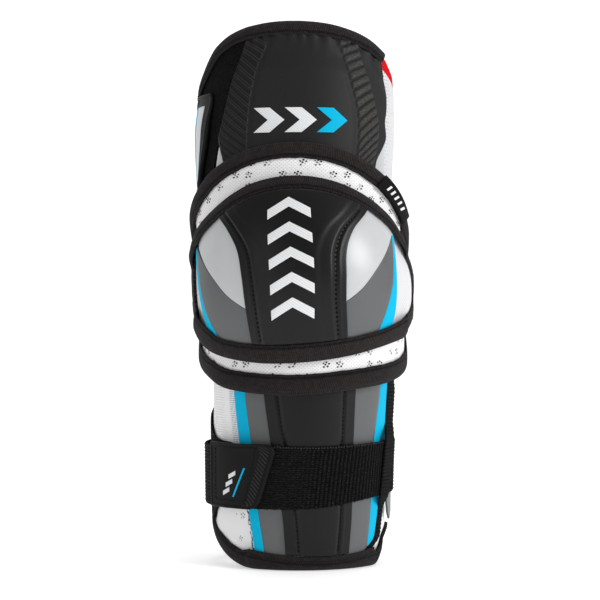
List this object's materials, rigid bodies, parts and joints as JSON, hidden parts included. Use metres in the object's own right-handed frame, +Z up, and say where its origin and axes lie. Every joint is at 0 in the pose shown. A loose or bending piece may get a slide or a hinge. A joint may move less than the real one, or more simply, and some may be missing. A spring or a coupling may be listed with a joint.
{
  "type": "hockey elbow pad",
  "caption": "Padded sport elbow guard: an upper-arm wrap with a ribbed moulded guard, a floating sleeve with a domed cap over the joint, and a forearm wrap closed by a strap.",
  "frame": {"origin": "centre of the bounding box at the forearm rim, on the surface it stands on", "axes": "+Z up the arm from the forearm rim to the upper-arm rim, -Y out of the front of the elbow cap"},
  "size_m": [0.1381, 0.157, 0.3285],
  "materials": {
    "white_mesh": "white spacer mesh over foam",
    "black_tape": "black woven binding tape",
    "black_mould": "matte black moulded plastic over foam",
    "loop_pile": "black brushed loop pile",
    "black_strap": "black knitted elastic",
    "rubber_tab": "matte black moulded rubber",
    "light_grey_film": "light grey satin film",
    "dark_grey_film": "dark grey satin film",
    "blue_film": "bright blue satin film"
  },
  "bodies": {
    "root": {"upper_arm_wrap": "white_mesh", "upper_arm_binding": "black_tape", "bicep_underlay": "light_grey_film", "bicep_guard": "black_mould", "bicep_loop_panel": "loop_pile", "upper_strap": "black_strap", "upper_strap_tab": "rubber_tab", "elbow_sleeve": "white_mesh", "sleeve_binding_top": "black_tape", "sleeve_binding_bottom": "black_tape", "sleeve_label": "black_tape", "elbow_cap": "white_mesh", "cap_binding_top": "black_tape", "cap_binding_bottom": "black_tape", "cap_light_panel_left": "light_grey_film", "cap_light_panel_right": "light_grey_film", "cap_dark_panel_left": "dark_grey_film", "cap_dark_panel_right": "dark_grey_film", "cap_blue_trim_left": "blue_film", "cap_blue_trim_right": "blue_film", "cap_centre_plate": "black_mould", "forearm_wrap": "white_mesh", "forearm_binding": "black_tape", "forearm_panel_tape": "black_tape", "forearm_back_flap": "black_strap", "forearm_grey_panel_left": "dark_grey_film", "forearm_grey_panel_right": "dark_grey_film", "forearm_blue_trim_left": "blue_film", "forearm_blue_trim_right": "blue_film", "forearm_centre_plate": "black_mould", "forearm_edge_webbing": "black_tape", "forearm_loop_strap": "black_strap", "forearm_elastic_strap": "black_strap", "forearm_strap_tab": "rubber_tab", "webbing_end": "dark_grey_film"}
  },
  "joints": []
}
